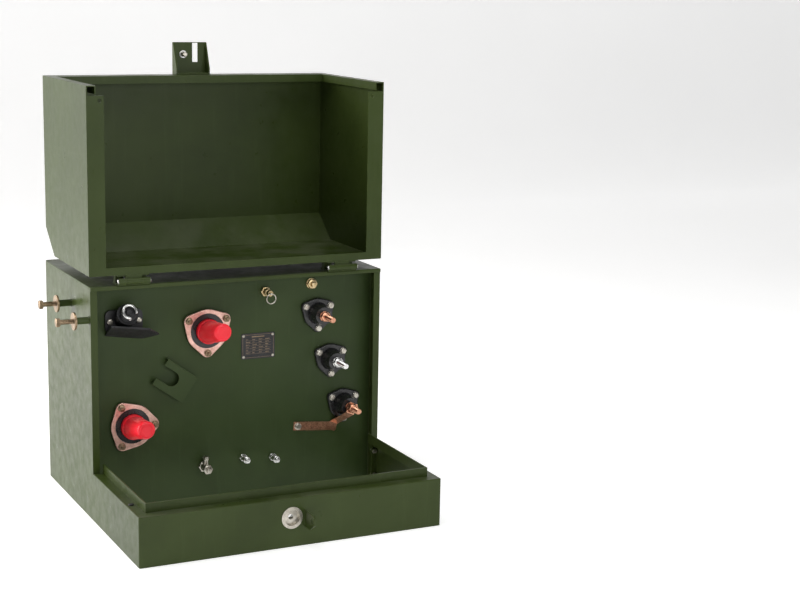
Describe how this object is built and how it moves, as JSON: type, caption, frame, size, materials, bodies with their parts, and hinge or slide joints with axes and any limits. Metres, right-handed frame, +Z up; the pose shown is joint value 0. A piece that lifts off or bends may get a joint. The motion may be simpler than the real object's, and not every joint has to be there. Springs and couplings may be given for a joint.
{
  "type": "pad-mounted transformer",
  "caption": "Single-phase low-profile pad-mounted transformer with a clamshell hood standing open over its bushings, fuse holder and lockable sill.",
  "frame": {"origin": "centre of the overall box with the hood open, at the level of the pad", "axes": "+X to the right of a person facing the open compartment, +Y from the compartment towards the tank's back, +Z up"},
  "size_m": [0.985, 0.9172, 1.211],
  "materials": {
    "green_paint": "semi-gloss",
    "steel": "zinc-plated",
    "tin": "bright tin plate",
    "bronze": "cast, satin",
    "copper": "satin",
    "brass": "machined",
    "red_plastic": "moulded gloss",
    "black_epoxy": "cast epoxy, satin",
    "black_plastic": "moulded matte",
    "black_rubber": "matte",
    "core_steel": "bare steel",
    "kraft_paper": "oiled paper wrap"
  },
  "bodies": {
    "tank": {"tank_wrapper": "green_paint", "tank_floor": "green_paint", "tank_cover": "green_paint", "front_plate": "green_paint", "front_sill": "green_paint", "sill_bolts": "steel", "sill_bumpers": "black_rubber", "padlock_staple": "green_paint", "lock_cup": "steel", "lock_nut": "steel", "lifting_bosses": "green_paint", "lifting_washers": "steel", "lifting_bolts": "steel", "hinge_bases": "green_paint", "hinge_pins": "steel", "hv_well_upper": "black_epoxy", "hv_well_lower": "black_epoxy", "hv_clamp_upper": "bronze", "hv_clamp_lower": "bronze", "hv_studs": "copper", "hv_gaskets": "black_rubber", "hv_clamp_nuts": "steel", "lv_bushing_1": "black_epoxy", "lv_bushing_2": "black_epoxy", "lv_bushing_3": "black_epoxy", "lv_stud_1": "copper", "lv_stud_2": "tin", "lv_stud_3": "copper", "lv_gaskets": "black_rubber", "lv_clamp_bolts": "steel", "fuse_housing": "black_plastic", "fuse_screws": "steel", "drip_tray": "black_plastic", "parking_stand": "green_paint", "ground_strap": "copper", "strap_bolt": "steel", "ground_connectors": "tin", "drain_valve": "steel", "fill_plug": "brass", "relief_valve": "brass", "nameplate": "black_plastic", "nameplate_rivets": "steel", "core_loops": "core_steel", "coil_inner": "kraft_paper", "coil_outer": "kraft_paper", "core_clamp": "core_steel", "lv_leads": "copper", "hv_leads": "copper"},
    "hood": {"hood_shell": "green_paint", "hasp_bracket": "green_paint", "hinge_leaf_left": "green_paint", "hinge_leaf_right": "green_paint"},
    "lock_clip": {"lock_clip": "steel"},
    "lock_bolt": {"lock_bolt": "steel"},
    "hv_cap_upper": {"hv_cap_upper": "red_plastic"},
    "hv_cap_lower": {"hv_cap_lower": "red_plastic"},
    "fuse_holder": {"fuse_cartridge": "black_plastic", "fuse_link": "copper", "fuse_handle": "tin"},
    "relief_ring": {"relief_ring": "steel"}
  },
  "joints": [
    {"name": "hood_hinge", "type": "hinge", "parent": "tank", "child": "hood", "pos_m": [0, -0.0166, 0.627], "axis": [-1, 0, 0], "range_deg": [-180, 0]},
    {"name": "lock_slide", "type": "slide", "parent": "hood", "child": "lock_clip", "axis": [0, 1, 0], "range_m": [-0.038, 0]},
    {"name": "lock_turn", "type": "hinge", "parent": "lock_clip", "child": "lock_bolt", "pos_m": [-0.012, 0.4204, 1.178], "axis": [0, 1, 0], "continuous": true},
    {"name": "cap_pull_upper", "type": "slide", "parent": "tank", "child": "hv_cap_upper", "axis": [0, -1, 0], "range_m": [0, 0.15]},
    {"name": "cap_pull_lower", "type": "slide", "parent": "tank", "child": "hv_cap_lower", "axis": [0, -1, 0], "range_m": [0, 0.15]},
    {"name": "fuse_pull", "type": "slide", "parent": "tank", "child": "fuse_holder", "axis": [0, -0.866, 0.5], "range_m": [0, 0.2]},
    {"name": "relief_pull", "type": "slide", "parent": "tank", "child": "relief_ring", "axis": [0, -1, 0], "range_m": [0, 0.008], "stiffness_N_per_m": 800}
  ]
}
